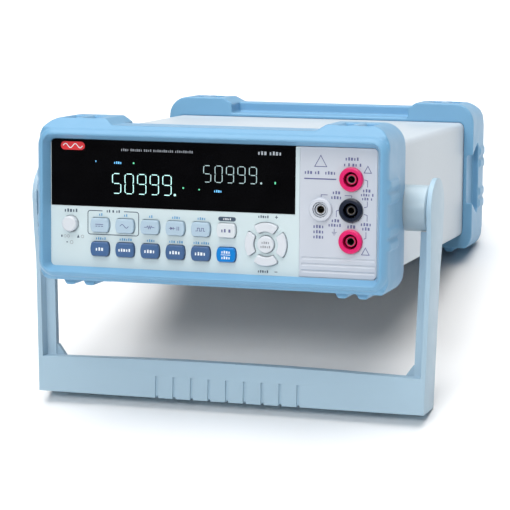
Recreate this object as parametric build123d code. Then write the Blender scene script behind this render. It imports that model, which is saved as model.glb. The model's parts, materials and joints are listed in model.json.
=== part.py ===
from build123d import *
from math import atan2, cos, degrees, radians, sin, sqrt
import os

# A half-rack bench multimeter: sheet-metal case, moulded front panel with keys, display
# window and test jacks, a rubber bumper round each end, and a swinging handle that also
# serves as its stand.  Sizes are in millimetres.
#
# The pieces are drawn with the case level: X runs across the front panel, Y from the front
# panel backwards and Z up, with the origin at the centre of the front panel's face.  Every
# piece is then tipped back together, so that the meter stands on its handle and rear feet.

# ------------------------------------------------------------------ driving dimensions
PANEL_W = 212.5
PANEL_H = 80.5
CASE_W = 214.0
CASE_TOP = 40.0
CASE_BOTTOM = -41.0
CASE_FRONT = 2.8
CASE_REAR = 286.0
CASE_EDGE_R = 4.0
SHEET = 1.2

BUMPER_W = 228.0
BUMPER_H = 99.0
PAD_H = 107.0
BUMPER_CORNER_R = 14.0
BUMPER_FRONT = -8.0
BUMPER_REAR = 294.0
FRONT_CAP_DEPTH = 48.0
FRONT_BAND_DEPTH = 33.0
REAR_CAP_DEPTH = 44.0
REAR_BAND_DEPTH = 24.0
BUMPER_LIP = 2.6
BUMPER_NOSE_R = 6.5
PAD_INNER_X = 66.0
PAD_CHAMFER_X = 6.0
PAD_SLOPE_START = 6.3
PAD_SLOPE_LENGTH = 7.5
RING_FRONT_H = 94.5
FOOT_XS = (83.0, 96.2)
FOOT_BASE = 10.0
FOOT_TIP = 5.0
FOOT_H = 3.8
FOOT_SETBACK = 14.0
FOOT_LENGTH = 22.0
SIDE_GRIP_ZS = (18.3, 9.6, -10.7, -19.1)
SIDE_GRIP_H = 4.8
SIDE_GRIP_T = 1.2
SIDE_GRIP_SETBACK = 1.5
FRONT_GRIP_END = 29.0
REAR_GRIP_END = 21.0

PANEL_T = 2.5
PANEL_RIM_BACK = 9.0
PANEL_CORNER_R = 2.5
BEVEL_REACH = 3.75
BEVEL_CORNER_R = 6.0
WINDOW_X = (-106.1, 54.4)
WINDOW_Z = (-1.9, 40.1)
TERMINAL_X = (57.2, 106.1)
TERMINAL_Z = (-40.1, 40.1)
INLAY_PROUD = 0.3
INLAY_SEAT_T = 1.4
GROOVE_ZS = (-28.4, -32.3, -36.4)
GROOVE_R = 1.1

KEY_X0 = -72.9
KEY_PITCH = 16.7
KEY_COLUMNS = 6
KEY_ROW_Z = {"upper": -13.5, "lower": -28.6}
KEY_W = 12.4
KEY_H = 8.9
KEY_BULGE = 1.1
KEY_PROUD = 2.6
KEY_GAP = 0.35
KEY_FLANGE = 1.1
KEY_FLANGE_T = 1.0
KEY_TRAVEL = 0.8
POST_R = 1.5
POST_L = 2.3
NAV_X = 36.1
NAV_Z = -21.1
NAV_OUTER_R = 13.5
NAV_INNER_R = 7.9
NAV_HALF_ANGLE = 36.0
NAV_CENTRE_R = 5.3
POWER_X = -93.0
POWER_Z = -13.3
POWER_R = 5.0
POWER_PROUD = 4.0
POWER_TRAVEL = 3.0

JACK_SPACING = 19.05
JACK_X = 90.0
JACK_Z = 1.95
FUSE_JACK_X = JACK_X - JACK_SPACING
JACK_R = 7.5
JACK_PROUD = 2.4
JACK_BODY_R = 6.2
JACK_DEPTH = 24.0
SHROUD_GAP_R = 4.7
JACK_TIP_R = 3.1
CONTACT_R = 2.55
PLUG_BORE_R = 2.05
NUT_FLATS = 16.0
NUT_T = 4.0

PIVOT_Y = 50.7
PIVOT_Z = -0.4
HUB_R = 14.5
HUB_LENGTH = 20.8
HUB_FLOOR = 6.0
HUB_BORE_R = 11.0
HANDLE_BOSS_R = 10.95
HUB_RELIEF_R = 17.0
HANDLE_W = 265.0
HANDLE_LEAN = 0.8
HANDLE_DROP = 128.9
HANDLE_TOE_IN = 3.1
FLANGE_T = 3.0
RIB_T = 6.3
RIB_FRONT = -5.4
RIB_BACK = -0.4
DISC_R = 19.25
ARM_HALF_DEPTH = 14.2
BAR_H = 22.9
BAR_ARCH = 2.2
BAR_WALL = 9.0
BAR_LEDGE_H = 5.0
GUSSET_W = 5.0
GUSSET_H = 7.0
GRIP_GROOVES = 9
GRIP_PITCH = 11.9
GRIP_GROOVE_W = 2.0
GRIP_GROOVE_T = 1.2
GRIP_GROOVE_H = 14.2

BOARD_T = 1.6
FRONT_BOARD_Y = 12.0
MAIN_BOARD_Z = -33.0
M3_R = 1.5
M3_HEAD_R = 2.8
M3_HEAD_T = 1.9
STANDOFF_X = 78.0
STANDOFF_YS = (46.0, 150.0, 244.0)

REAR_PANEL_T = 1.5
REAR_PANEL_Y = CASE_REAR + 0.1
INLET_X = 72.0
INLET_Z = 2.0
USB_X = 8.0
IO_X = -50.0
REAR_PORT_Z = -14.0
INLET_BODY_W = 28.0
INLET_BODY_H = 34.0
USB_W = 12.0
USB_H = 11.0
IO_BODY_W = 19.8
IO_BODY_H = 11.0


# ------------------------------------------------------------------ drawing helpers
def facing_front(y):
    """The plane at depth y on which outlines are drawn in X and Z."""
    return Plane(origin=(0, y, 0), x_dir=(1, 0, 0), z_dir=(0, -1, 0))


def slab(outline, front, back):
    """An outline drawn in X and Z, made solid from y = front to y = back."""
    return extrude(facing_front(back) * outline, back - front)


def side_slab(outline, low_x, high_x):
    """An outline drawn in Y and Z, made solid from x = low_x to x = high_x."""
    plane = Plane(origin=(low_x, 0, 0), x_dir=(0, 1, 0), z_dir=(1, 0, 0))
    return extrude(plane * outline, high_x - low_x)


def block(x, y, z):
    """A box between pairs of low and high coordinates."""
    size = (x[1] - x[0], y[1] - y[0], z[1] - z[0])
    return Pos((x[0] + x[1]) / 2, (y[0] + y[1]) / 2, (z[0] + z[1]) / 2) * Box(*size)


def disc(x, z, radius, front, back):
    """A cylinder along Y."""
    return slab(Pos(x, z) * Circle(radius), front, back)


def axle(y, z, radius, low_x, high_x):
    """A cylinder along X."""
    return side_slab(Pos(y, z) * Circle(radius), low_x, high_x)


def post(x, y, radius, low_z, high_z):
    """A cylinder along Z."""
    return Pos(x, y, (low_z + high_z) / 2) * Cylinder(radius, high_z - low_z)


def mirrored(shape):
    """The same shape on the other side of the meter's middle plane."""
    return mirror(shape, Plane.YZ)


def group(solids):
    """Separate solids kept together as one piece."""
    return Compound(children=[solid for part in solids for solid in part.solids()])


# ------------------------------------------------------------------ case
def case_outline(inset):
    """The case's cross-section, pulled in by inset."""
    height = CASE_TOP - CASE_BOTTOM
    middle = (CASE_TOP + CASE_BOTTOM) / 2
    return Pos(0, middle) * RectangleRounded(CASE_W - 2 * inset, height - 2 * inset, CASE_EDGE_R - inset)


def hub_screw_points():
    """Y and Z of the three screws that hold a hub, on a circle round the pivot."""
    return [
        (PIVOT_Y + 8.0 * cos(radians(angle)), PIVOT_Z + 8.0 * sin(radians(angle)))
        for angle in (90, 210, 330)
    ]


def case_cover():
    """Top and both sides in one folded sheet, open below."""
    shell = slab(case_outline(0), CASE_FRONT, CASE_REAR)
    shell -= slab(case_outline(SHEET), CASE_FRONT, CASE_REAR)
    inner = CASE_W / 2 - SHEET
    shell -= block((-inner, inner), (CASE_FRONT, CASE_REAR), (CASE_BOTTOM - 1, CASE_BOTTOM + CASE_EDGE_R))
    shell -= block((-CASE_W, CASE_W), (CASE_FRONT, CASE_REAR), (CASE_BOTTOM - 1, CASE_BOTTOM + SHEET))
    for y, z in hub_screw_points():
        shell -= axle(y, z, 1.4, -CASE_W, CASE_W)
    return shell


def standoff_points():
    """X and Y of the main board's spacers."""
    return [(x, y) for x in (-STANDOFF_X, STANDOFF_X) for y in STANDOFF_YS]


def chassis_base():
    """Bottom plate with a flange turned up along each side and cooling slots."""
    inner = CASE_W / 2 - SHEET - 0.1
    y_range = (PANEL_RIM_BACK + 0.5, CASE_REAR)
    base = block((-inner, inner), y_range, (CASE_BOTTOM, CASE_BOTTOM + SHEET))
    for side in (-1, 1):
        edges = sorted((side * inner, side * (inner - SHEET)))
        base += block(edges, y_range, (CASE_BOTTOM, CASE_BOTTOM + 12.0))
    base &= slab(case_outline(0), *y_range)
    for x, y in standoff_points():
        base -= post(x, y, M3_R + 0.1, CASE_BOTTOM - 1, CASE_BOTTOM + 3)
    for row in range(9):
        for side in (-1, 1):
            slot = Pos(side * 34.0, 185.0 + 6.0 * row) * SlotOverall(40.0, 2.4)
            base -= extrude(Pos(0, 0, CASE_BOTTOM - 1) * slot, 4)
    return base


def rear_screw_points():
    """X and Z of the four screws at the rear corners."""
    return [(x, z) for x in (-97.0, 97.0) for z in (-31.0, 30.0)]


def rear_panel():
    """Plate that closes the back, with cut-outs, cooling slots and four screw posts."""
    front = REAR_PANEL_Y
    back = front + REAR_PANEL_T
    panel = slab(case_outline(0.1), front, back)
    for x, z in rear_screw_points():
        panel += disc(x, z, 4.0, front - 12.0, front)
        panel -= disc(x, z, M3_R, front - 10.0, back)
    for centre, width, height in (
        (Pos(INLET_X, INLET_Z), INLET_BODY_W, INLET_BODY_H),
        (Pos(USB_X, REAR_PORT_Z), USB_W, USB_H),
        (Pos(IO_X, REAR_PORT_Z), IO_BODY_W, IO_BODY_H),
    ):
        panel -= slab(centre * Rectangle(width + 0.4, height + 0.4), front - 1, back + 1)
    for column in range(16):
        slot = Pos(-72.0 + 6.0 * column, 19.0) * Rot(0, 0, 90) * SlotOverall(22.0, 2.4)
        panel -= slab(slot, front - 1, back + 1)
    return panel


# ------------------------------------------------------------------ bumpers
def foot_outline(x, tip_z, root_z):
    """A foot seen from the front: wide at its root and narrow at its tip."""
    return make_face(Polyline(
        (x - FOOT_BASE / 2, root_z),
        (x - FOOT_TIP / 2, tip_z),
        (x + FOOT_TIP / 2, tip_z),
        (x + FOOT_BASE / 2, root_z),
        close=True,
    ))


def bumper(cap_depth, band_depth, opening):
    """Bumper with its outer end at y = 0 and its corner caps reaching back to cap_depth.

    opening is the hole in the end face.  Between the corners the band is shallower, and
    only a thin lip follows the case there.
    """
    half_pad = PAD_H / 2
    half_band = BUMPER_H / 2
    caps = RectangleRounded(BUMPER_W, PAD_H, BUMPER_CORNER_R)
    for side in (-1, 1):
        caps -= make_face(Polyline(
            (-PAD_INNER_X, side * half_band),
            (-PAD_INNER_X - PAD_CHAMFER_X, side * (half_pad + 0.1)),
            (PAD_INNER_X + PAD_CHAMFER_X, side * (half_pad + 0.1)),
            (PAD_INNER_X, side * half_band),
            close=True,
        ))
    body = slab(caps, 0, cap_depth)
    # The end's long outer edges are rounded, and the pads slope back from the end ring.
    ring = slab(RectangleRounded(BUMPER_W, RING_FRONT_H, BUMPER_CORNER_R - 3.0), 0, cap_depth)
    ring = fillet(ring.edges().group_by(Axis.Y)[0], BUMPER_NOSE_R)
    for side in (-1, 1):
        slope = make_face(Polyline(
            (-1.0, side * (RING_FRONT_H / 2 - 2.0)),
            (PAD_SLOPE_START, side * RING_FRONT_H / 2),
            (PAD_SLOPE_START + PAD_SLOPE_LENGTH, side * half_pad),
            (PAD_SLOPE_START + PAD_SLOPE_LENGTH, side * (half_pad + 5.0)),
            (-1.0, side * (half_pad + 5.0)),
            close=True,
        ))
        body -= side_slab(slope, -BUMPER_W, BUMPER_W)
    nose = slab(RectangleRounded(BUMPER_W + 10, PAD_H + 10, BUMPER_CORNER_R), -1, BUMPER_NOSE_R)
    body -= nose - ring
    # Pockets in the top pads that the feet of another meter stand in.
    for x in (*FOOT_XS, *(-x for x in FOOT_XS)):
        pocket = foot_outline(x, half_pad - FOOT_H, half_pad + 1.0)
        body -= slab(pocket, FOOT_SETBACK, FOOT_SETBACK + FOOT_LENGTH)
    # Shallow band between the corner caps, with a thin lip kept against the case.
    keep = slab(case_outline(-BUMPER_LIP), -1, cap_depth + 1)
    between = slab(Rectangle(2 * PAD_INNER_X, PAD_H + 10), band_depth, cap_depth + 1)
    body -= between - keep
    return body - slab(opening, -1, cap_depth + 1)


def side_recess(band_depth, cap_depth):
    """What is scooped out of both side walls between the corner caps."""
    scoop = make_face(
        Polyline(
            (band_depth, 23.0),
            (band_depth + 4.0, 25.0),
            (cap_depth + 1, 16.0),
            (cap_depth + 1, -16.0),
            (band_depth + 4.0, -25.0),
            (band_depth, -23.0),
            close=True,
        )
    )
    lip_x = CASE_W / 2 + BUMPER_LIP
    return side_slab(scoop, lip_x, BUMPER_W) + side_slab(scoop, -BUMPER_W, -lip_x)


def side_grips(end):
    """Ridges on both side walls of a bumper whose outer end is at y = 0.

    They follow the rounded outer edge and run back along the wall to y = end.
    """
    ridges = []
    face = BUMPER_W / 2
    for z in SIDE_GRIP_ZS:
        across = (face - BUMPER_NOSE_R, face + SIDE_GRIP_T)
        ridge = block(across, (SIDE_GRIP_SETBACK, end), (z - SIDE_GRIP_H / 2, z + SIDE_GRIP_H / 2))
        outer = ridge.edges().filter_by(Axis.Z).group_by(Axis.X)[-1].sort_by(Axis.Y)
        ridge = fillet(outer[0], BUMPER_NOSE_R - SIDE_GRIP_SETBACK + SIDE_GRIP_T)
        ridges += [ridge, mirrored(ridge)]
    return ridges


def feet():
    """Four feet on the underside of a bumper whose outer end is at y = 0."""
    solids = []
    for side in (-1, 1):
        for x in FOOT_XS:
            outline = foot_outline(side * x, -PAD_H / 2, FOOT_H + 0.6 - PAD_H / 2)
            foot = slab(outline, FOOT_SETBACK, FOOT_SETBACK + FOOT_LENGTH)
            solids.append(chamfer(foot.edges().group_by(Axis.Z)[0], 0.6))
    return solids


def finish_bumper(body, grip_end):
    """Underside trimmed to the band's level, then feet and side ridges added."""
    low_z = -BUMPER_H / 2 - 0.2
    body -= block((-BUMPER_W, BUMPER_W), (-1, 80), (-PAD_H, low_z))
    for extra in feet() + side_grips(grip_end):
        body += extra
    return body


def case_pocket(front, back):
    """The room for the case inside a bumper."""
    return slab(case_outline(-0.05), front, back)


def front_bumper():
    """Front bumper: bevelled ring round the panel, and relief round the handle hubs."""
    opening = RectangleRounded(PANEL_W, PANEL_H, PANEL_CORNER_R)
    body = bumper(FRONT_CAP_DEPTH, FRONT_BAND_DEPTH, opening)
    body = Pos(0, BUMPER_FRONT, 0) * finish_bumper(body, FRONT_GRIP_END)
    body -= case_pocket(0, BUMPER_FRONT + FRONT_CAP_DEPTH + 1)
    wide = RectangleRounded(PANEL_W + 2 * BEVEL_REACH, PANEL_H + 2 * BEVEL_REACH, BEVEL_CORNER_R)
    body -= loft([facing_front(0) * opening, facing_front(BUMPER_FRONT - 0.5) * wide])
    return body - axle(PIVOT_Y, PIVOT_Z, HUB_RELIEF_R, -BUMPER_W, BUMPER_W)


def rear_bumper():
    """Rear bumper: the same shape turned round, with four screw tabs inside its corners."""
    opening = Pos(0, -0.5) * RectangleRounded(204.0, 71.0, 4.0)
    body = bumper(REAR_CAP_DEPTH, REAR_BAND_DEPTH, opening)
    body -= side_recess(REAR_BAND_DEPTH, REAR_CAP_DEPTH)
    body = Pos(0, BUMPER_REAR, 0) * mirror(finish_bumper(body, REAR_GRIP_END), Plane.XZ)
    seat = REAR_PANEL_Y + REAR_PANEL_T + 0.05
    body -= case_pocket(BUMPER_REAR - REAR_CAP_DEPTH - 1, seat)
    for x, z in rear_screw_points():
        side = 1 if x > 0 else -1
        level = 1 if z > 0 else -1
        outer_x = sorted((x - side * 6.0, side * 103.0))
        outer_z = sorted((z - level * 6.0, -0.5 + level * 36.5))
        body += block(outer_x, (seat, seat + 3.0), outer_z)
        body -= disc(x, z, M3_R + 0.1, seat - 1, seat + 4.0)
    return body


# ------------------------------------------------------------------ front panel
def key_outline(grow=0.0):
    """A key seen from the front: level top and bottom, bowed left and right sides."""
    w = KEY_W / 2 + grow
    h = KEY_H / 2 + grow
    straight = w - KEY_BULGE
    outline = make_face([
        Line((-straight, h), (straight, h)),
        ThreePointArc((straight, h), (w, 0), (straight, -h)),
        Line((straight, -h), (-straight, -h)),
        ThreePointArc((-straight, -h), (-w, 0), (-straight, h)),
    ])
    return fillet(outline.vertices(), 1.6 + grow)


def nav_outline(angle, grow=0.0):
    """One of the four curved keys round the centre button."""
    half = radians(NAV_HALF_ANGLE)
    reach = 2 * NAV_OUTER_R
    side_gap = grow / cos(half)
    wedge = make_face(Polyline(
        (-side_gap, 0),
        (-side_gap + reach * cos(half), reach * sin(half)),
        (-side_gap + reach * cos(half), -reach * sin(half)),
        close=True,
    ))
    ring = Circle(NAV_OUTER_R + grow) - Circle(NAV_INNER_R - grow)
    outline = fillet((ring & wedge).vertices(), 1.2)
    return Rot(0, 0, angle) * outline


def key_points():
    """Name, X and Z of every rectangular key."""
    return [
        (f"key_{row}_{column + 1}", KEY_X0 + KEY_PITCH * column, z)
        for row, z in KEY_ROW_Z.items()
        for column in range(KEY_COLUMNS)
    ]


NAV_ANGLES = {"nav_key_right": 0, "nav_key_up": 90, "nav_key_left": 180, "nav_key_down": 270}


def jack_points():
    """Name, X and Z of the three fixed jacks."""
    return [
        ("volt_jack", JACK_X, JACK_Z + JACK_SPACING),
        ("common_jack", JACK_X, JACK_Z),
        ("amp_jack", JACK_X, JACK_Z - JACK_SPACING),
    ]


def jack_centres():
    """X and Z of all four jacks, the fused one last."""
    return [(x, z) for _, x, z in jack_points()] + [(FUSE_JACK_X, JACK_Z)]


def rectangle_between(x, z):
    """A rectangle between pairs of low and high coordinates."""
    return Pos((x[0] + x[1]) / 2, (z[0] + z[1]) / 2) * Rectangle(x[1] - x[0], z[1] - z[0])


def front_panel():
    """Moulded front panel with seats for the window and jack plate, and holes for keys."""
    panel = slab(case_outline(0.15), 0, PANEL_T)
    rim = slab(case_outline(2.0), PANEL_T, PANEL_RIM_BACK)
    rim -= slab(case_outline(3.8), PANEL_T - 1, PANEL_RIM_BACK + 1)
    panel += rim
    for x, z in ((WINDOW_X, WINDOW_Z), (TERMINAL_X, TERMINAL_Z)):
        seat = rectangle_between((x[0] - 0.1, x[1] + 0.1), (z[0] - 0.1, z[1] + 0.1))
        panel -= slab(seat, -1, INLAY_SEAT_T)
    panel -= slab(rectangle_between((-96.0, 46.0), (3.0, 35.0)), -1, PANEL_T + 1)
    for _, x, z in key_points():
        panel -= slab(Pos(x, z) * key_outline(KEY_GAP), -1, PANEL_T + 1)
    for angle in NAV_ANGLES.values():
        panel -= slab(Pos(NAV_X, NAV_Z) * nav_outline(angle, KEY_GAP), -1, PANEL_T + 1)
    panel -= disc(NAV_X, NAV_Z, NAV_CENTRE_R + KEY_GAP, -1, PANEL_T + 1)
    panel -= disc(POWER_X, POWER_Z, POWER_R + 0.4, -1, PANEL_T + 1)
    for x, z in jack_centres():
        panel -= disc(x, z, JACK_BODY_R + 0.1, -1, PANEL_T + 1)
    return panel


def inlay(x, z):
    """A plate let into the front panel, rounded where it meets the bumper's corners."""
    outline = rectangle_between(x, z) & RectangleRounded(PANEL_W - 0.3, PANEL_H - 0.3, PANEL_CORNER_R)
    plate = slab(outline, -INLAY_PROUD, INLAY_SEAT_T)
    return chamfer(plate.edges().group_by(Axis.Y)[0], 0.25)


def display_window():
    """Smoked acrylic window with softened edges."""
    return inlay(WINDOW_X, WINDOW_Z)


def terminal_panel():
    """Plate round the jacks with three grooves along its lower end."""
    plate = inlay(TERMINAL_X, TERMINAL_Z)
    groove_y = 0.5 - INLAY_PROUD - GROOVE_R
    for z in GROOVE_ZS:
        plate -= axle(groove_y, z, GROOVE_R, TERMINAL_X[0] + 1.6, TERMINAL_X[1] - 1.0)
    for x, z in jack_centres():
        plate -= disc(x, z, JACK_BODY_R + 0.1, -1, INLAY_SEAT_T + 1)
    return plate


# ------------------------------------------------------------------ keys
FLANGE_Y = PANEL_T + 0.2


def pressed_key(outline, flange, proud, post_x, post_z):
    """Key cap with a flange that holds it behind the panel and a post for its switch."""
    cap = slab(outline, -proud, FLANGE_Y)
    cap = fillet(cap.edges().group_by(Axis.Y)[0], 0.7)
    back = FLANGE_Y + KEY_FLANGE_T
    return cap + slab(flange, FLANGE_Y, back) + disc(post_x, post_z, POST_R, back, back + POST_L)


def rectangular_key(x, z):
    """One of the twelve function keys."""
    return pressed_key(Pos(x, z) * key_outline(), Pos(x, z) * key_outline(KEY_FLANGE), KEY_PROUD, x, z)


def nav_post(angle):
    """Where a curved key's post stands, in the middle of the key."""
    radius = (NAV_OUTER_R + NAV_INNER_R) / 2
    return NAV_X + radius * cos(radians(angle)), NAV_Z + radius * sin(radians(angle))


def nav_key(angle):
    """One curved key of the ring."""
    place = Pos(NAV_X, NAV_Z)
    x, z = nav_post(angle)
    return pressed_key(place * nav_outline(angle), place * nav_outline(angle, 0.9), KEY_PROUD - 0.4, x, z)


def nav_centre_key():
    """Round key in the middle of the ring."""
    place = Pos(NAV_X, NAV_Z)
    flange = place * Circle(NAV_CENTRE_R + 0.9)
    return pressed_key(place * Circle(NAV_CENTRE_R), flange, KEY_PROUD - 0.4, NAV_X, NAV_Z)


ON_BOARD = MAIN_BOARD_Z + BOARD_T + 0.1
POWER_ROD_END = 52.0
POWER_SWITCH_Y = 46.0


def power_button():
    """Round power button on a long square rod that reaches back to the mains switch."""
    cap = disc(POWER_X, POWER_Z, POWER_R, -POWER_PROUD, FLANGE_Y)
    cap = fillet(cap.edges().group_by(Axis.Y)[0], 1.2)
    cap += disc(POWER_X, POWER_Z, POWER_R + 1.2, FLANGE_Y, FLANGE_Y + 1.2)
    rod = slab(Pos(POWER_X, POWER_Z) * Rectangle(4.0, 4.0), FLANGE_Y + 1.2, POWER_ROD_END)
    return cap + rod


def power_switch():
    """Latching mains switch with the slot that the button's rod works in."""
    across = (POWER_X - 7.0, POWER_X + 7.0)
    body = block(across, (POWER_SWITCH_Y, POWER_SWITCH_Y + 22.0), (ON_BOARD, POWER_Z + 7.0))
    slot = Pos(POWER_X, POWER_Z) * Rectangle(4.8, 4.8)
    return body - slab(slot, POWER_SWITCH_Y - 1, POWER_ROD_END + POWER_TRAVEL + 1)


def switch_points():
    """X and Z of every small switch behind the keys."""
    points = [(x, z) for _, x, z in key_points()]
    points += [nav_post(angle) for angle in NAV_ANGLES.values()]
    return points + [(NAV_X, NAV_Z)]


def tact_switches():
    """A small square switch with a round plunger behind each key."""
    back = FRONT_BOARD_Y - 0.02
    body_front = back - 3.4
    plunger_front = FLANGE_Y + KEY_FLANGE_T + POST_L + KEY_TRAVEL + 0.1
    solids = []
    for x, z in switch_points():
        body = slab(Pos(x, z) * Rectangle(4.6, 4.6), body_front, back)
        solids.append(body + disc(x, z, 1.4, plunger_front, body_front))
    return group(solids)


# ------------------------------------------------------------------ jacks
def jack_shell(x, z):
    """Shrouded 4 mm jack: coloured body, ring-shaped gap and insulated centre tube."""
    shell = disc(x, z, JACK_R, -JACK_PROUD - INLAY_PROUD, -INLAY_PROUD)
    shell = fillet(shell.edges().group_by(Axis.Y)[0], 1.0)
    shell += disc(x, z, JACK_BODY_R, -INLAY_PROUD, JACK_DEPTH)
    front = -JACK_PROUD - 1
    shell -= disc(x, z, SHROUD_GAP_R, front, 18.0) - disc(x, z, JACK_TIP_R, -1.0, 18.0)
    return shell - disc(x, z, CONTACT_R, front, JACK_DEPTH - 2.0)


def contact_tube(x, z, front, back):
    """Metal tube that takes a 4 mm plug."""
    return disc(x, z, CONTACT_R, front, back) - disc(x, z, PLUG_BORE_R, front - 1, back)


def jack_contacts():
    """Contact tubes of the three fixed jacks, each with a solder pin behind."""
    solids = []
    for _, x, z in jack_points():
        tube = contact_tube(x, z, -0.6, JACK_DEPTH - 2.0)
        plug = disc(x, z, CONTACT_R, JACK_DEPTH - 3.0, JACK_DEPTH - 2.0)
        solids.append(tube + plug)
    return group(solids)


FUSE_HOLDER_DEPTH = 40.0
CARRIER_R = 4.5
CARRIER_BORE_R = 2.75
CARRIER_GAP_R = 3.8
FUSE_FRONT = 16.0
FUSE_LENGTH = 20.0


def fuse_jack_socket():
    """Fixed outer ring and barrel of the jack that also holds the small-current fuse."""
    socket = disc(FUSE_JACK_X, JACK_Z, JACK_R - 0.3, -JACK_PROUD - INLAY_PROUD, -INLAY_PROUD)
    socket = fillet(socket.edges().group_by(Axis.Y)[0], 1.0)
    socket += disc(FUSE_JACK_X, JACK_Z, JACK_BODY_R, -INLAY_PROUD, FUSE_HOLDER_DEPTH)
    return socket - disc(FUSE_JACK_X, JACK_Z, CARRIER_R + 0.3, -JACK_PROUD - 1, FUSE_HOLDER_DEPTH - 2.0)


def fuse_carrier():
    """Bayonet carrier: a short jack in front, and a tube behind it that grips the fuse."""
    back = FUSE_HOLDER_DEPTH - 2.5
    carrier = disc(FUSE_JACK_X, JACK_Z, CARRIER_R, -JACK_PROUD + 0.2, back)
    carrier = fillet(carrier.edges().group_by(Axis.Y)[0], 0.4)
    gap = disc(FUSE_JACK_X, JACK_Z, CARRIER_GAP_R, -JACK_PROUD - 1, 6.0)
    carrier -= gap - disc(FUSE_JACK_X, JACK_Z, JACK_TIP_R, -1.4, 6.0)
    carrier -= disc(FUSE_JACK_X, JACK_Z, CONTACT_R, -JACK_PROUD - 1, FUSE_FRONT - 1.0)
    return carrier - disc(FUSE_JACK_X, JACK_Z, CARRIER_BORE_R, FUSE_FRONT - 1.0, back + 1)


def fuse_jack_contact():
    """Contact tube in the fuse carrier, closed where it meets the fuse."""
    tube = contact_tube(FUSE_JACK_X, JACK_Z, -1.0, FUSE_FRONT - 1.0)
    return tube + disc(FUSE_JACK_X, JACK_Z, CONTACT_R, FUSE_FRONT - 2.0, FUSE_FRONT - 1.0)


def cartridge(length, radius, cap):
    """A fuse along Y from y = 0: a tube with a slightly wider cap at each end."""
    fuse = disc(0, 0, radius - 0.2, 0, length)
    fuse += disc(0, 0, radius, 0, cap)
    return fuse + disc(0, 0, radius, length - cap, length)


def input_fuse():
    """Small-current input fuse."""
    return Pos(FUSE_JACK_X, FUSE_FRONT, JACK_Z) * cartridge(FUSE_LENGTH, 2.6, 5.0)


def jack_nuts():
    """Hexagon nuts behind the panel on all four jacks."""
    solids = []
    for x, z in jack_centres():
        hexagon = Pos(x, z) * Rot(0, 0, 30) * RegularPolygon(NUT_FLATS / sqrt(3) - 0.1, 6)
        nut = slab(hexagon, PANEL_T + 0.02, PANEL_T + NUT_T)
        solids.append(nut - disc(x, z, JACK_BODY_R + 0.02, 0, PANEL_T + NUT_T + 1))
    return group(solids)


# ------------------------------------------------------------------ handle and hubs
def hub():
    """Right-hand hub: a cup on the case side that the handle's boss turns in."""
    inner_x = CASE_W / 2
    end_x = inner_x + HUB_LENGTH
    cup = axle(PIVOT_Y, PIVOT_Z, HUB_R, inner_x, end_x)
    cup = chamfer(cup.edges().group_by(Axis.X)[-1], 0.8)
    cup -= axle(PIVOT_Y, PIVOT_Z, HUB_BORE_R, inner_x + HUB_FLOOR, end_x + 1)
    for y, z in hub_screw_points():
        cup -= axle(y, z, 1.25, inner_x - 1, inner_x + HUB_FLOOR - 1)
    return cup


def hub_screws():
    """Screws from inside the case into the floors of both hubs."""
    inner_x = CASE_W / 2
    solids = []
    for y, z in hub_screw_points():
        screw = axle(y, z, 1.25, inner_x - SHEET, inner_x + HUB_FLOOR - 1)
        screw += axle(y, z, 2.3, inner_x - SHEET - 1.6, inner_x - SHEET)
        solids += [screw, mirrored(screw)]
    return group(solids)


def hub_wave_washers():
    """Sprung washers in the bottoms of the hubs that press on the handle's bosses."""
    floor = CASE_W / 2 + HUB_FLOOR
    washer = axle(PIVOT_Y, PIVOT_Z, 10.4, floor + 0.05, floor + 2.4)
    washer -= axle(PIVOT_Y, PIVOT_Z, 6.0, floor - 1, floor + 4)
    for step in range(3):
        angle = 120.0 * step
        relief = Rot(X=angle) * block((floor + 1.4, floor + 4), (2.0, 12.0), (-2.6, 2.6))
        washer -= Pos(0, PIVOT_Y, PIVOT_Z) * relief
    return group([washer, mirrored(washer)])


def arm_side_outline(half_depth, disc_radius, foot_z):
    """An arm seen from the side: round at the pivot and narrowing into the arm."""
    taper = make_face(Polyline(
        (-disc_radius * 0.97, -4.0),
        (-half_depth, -42.0),
        (-half_depth, foot_z),
        (half_depth, foot_z),
        (half_depth, -42.0),
        (disc_radius * 0.97, -4.0),
        close=True,
    ))
    return Circle(disc_radius) + taper


def arm_front_outline(outer_offset, inner_offset, top_z):
    """A strip of the right arm seen from the front, between two depths from its outside."""
    top_x = HANDLE_W / 2
    foot_x = top_x - HANDLE_TOE_IN
    return make_face(Polyline(
        (top_x - inner_offset, top_z),
        (top_x - outer_offset, top_z),
        (top_x - outer_offset, -DISC_R),
        (foot_x - outer_offset, -HANDLE_DROP),
        (foot_x - inner_offset, -HANDLE_DROP),
        (top_x - inner_offset, -DISC_R),
        close=True,
    ))


def handle_arm():
    """Right arm about its pivot at the origin: outer flange, inner rib and hub boss."""
    flange = slab(arm_front_outline(0, FLANGE_T, 30.0), -30, 30)
    flange &= side_slab(arm_side_outline(ARM_HALF_DEPTH, DISC_R, -HANDLE_DROP), 0, HANDLE_W)
    rib = slab(arm_front_outline(FLANGE_T, FLANGE_T + RIB_T, 0.0), RIB_FRONT, RIB_BACK)
    rib -= axle(0, 0, HUB_R + 0.7, 0, HANDLE_W)
    boss_end = CASE_W / 2 + HUB_FLOOR + 3.0
    flange_inside = HANDLE_W / 2 - FLANGE_T
    boss = axle(0, 0, HANDLE_BOSS_R, boss_end, flange_inside)
    boss -= axle(0, 0, HANDLE_BOSS_R - 2.5, boss_end - 1, flange_inside)
    return flange + rib + boss


def bar_outline(low, top, arch):
    """The bar seen from the front, its upper edge bowed up by arch in the middle."""
    end_x = HANDLE_W / 2 - HANDLE_TOE_IN - FLANGE_T / 2
    return make_face([
        Line((-end_x, low), (end_x, low)),
        Line((end_x, low), (end_x, top)),
        ThreePointArc((end_x, top), (0, top + arch), (-end_x, top)),
        Line((-end_x, top), (-end_x, low)),
    ])


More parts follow.
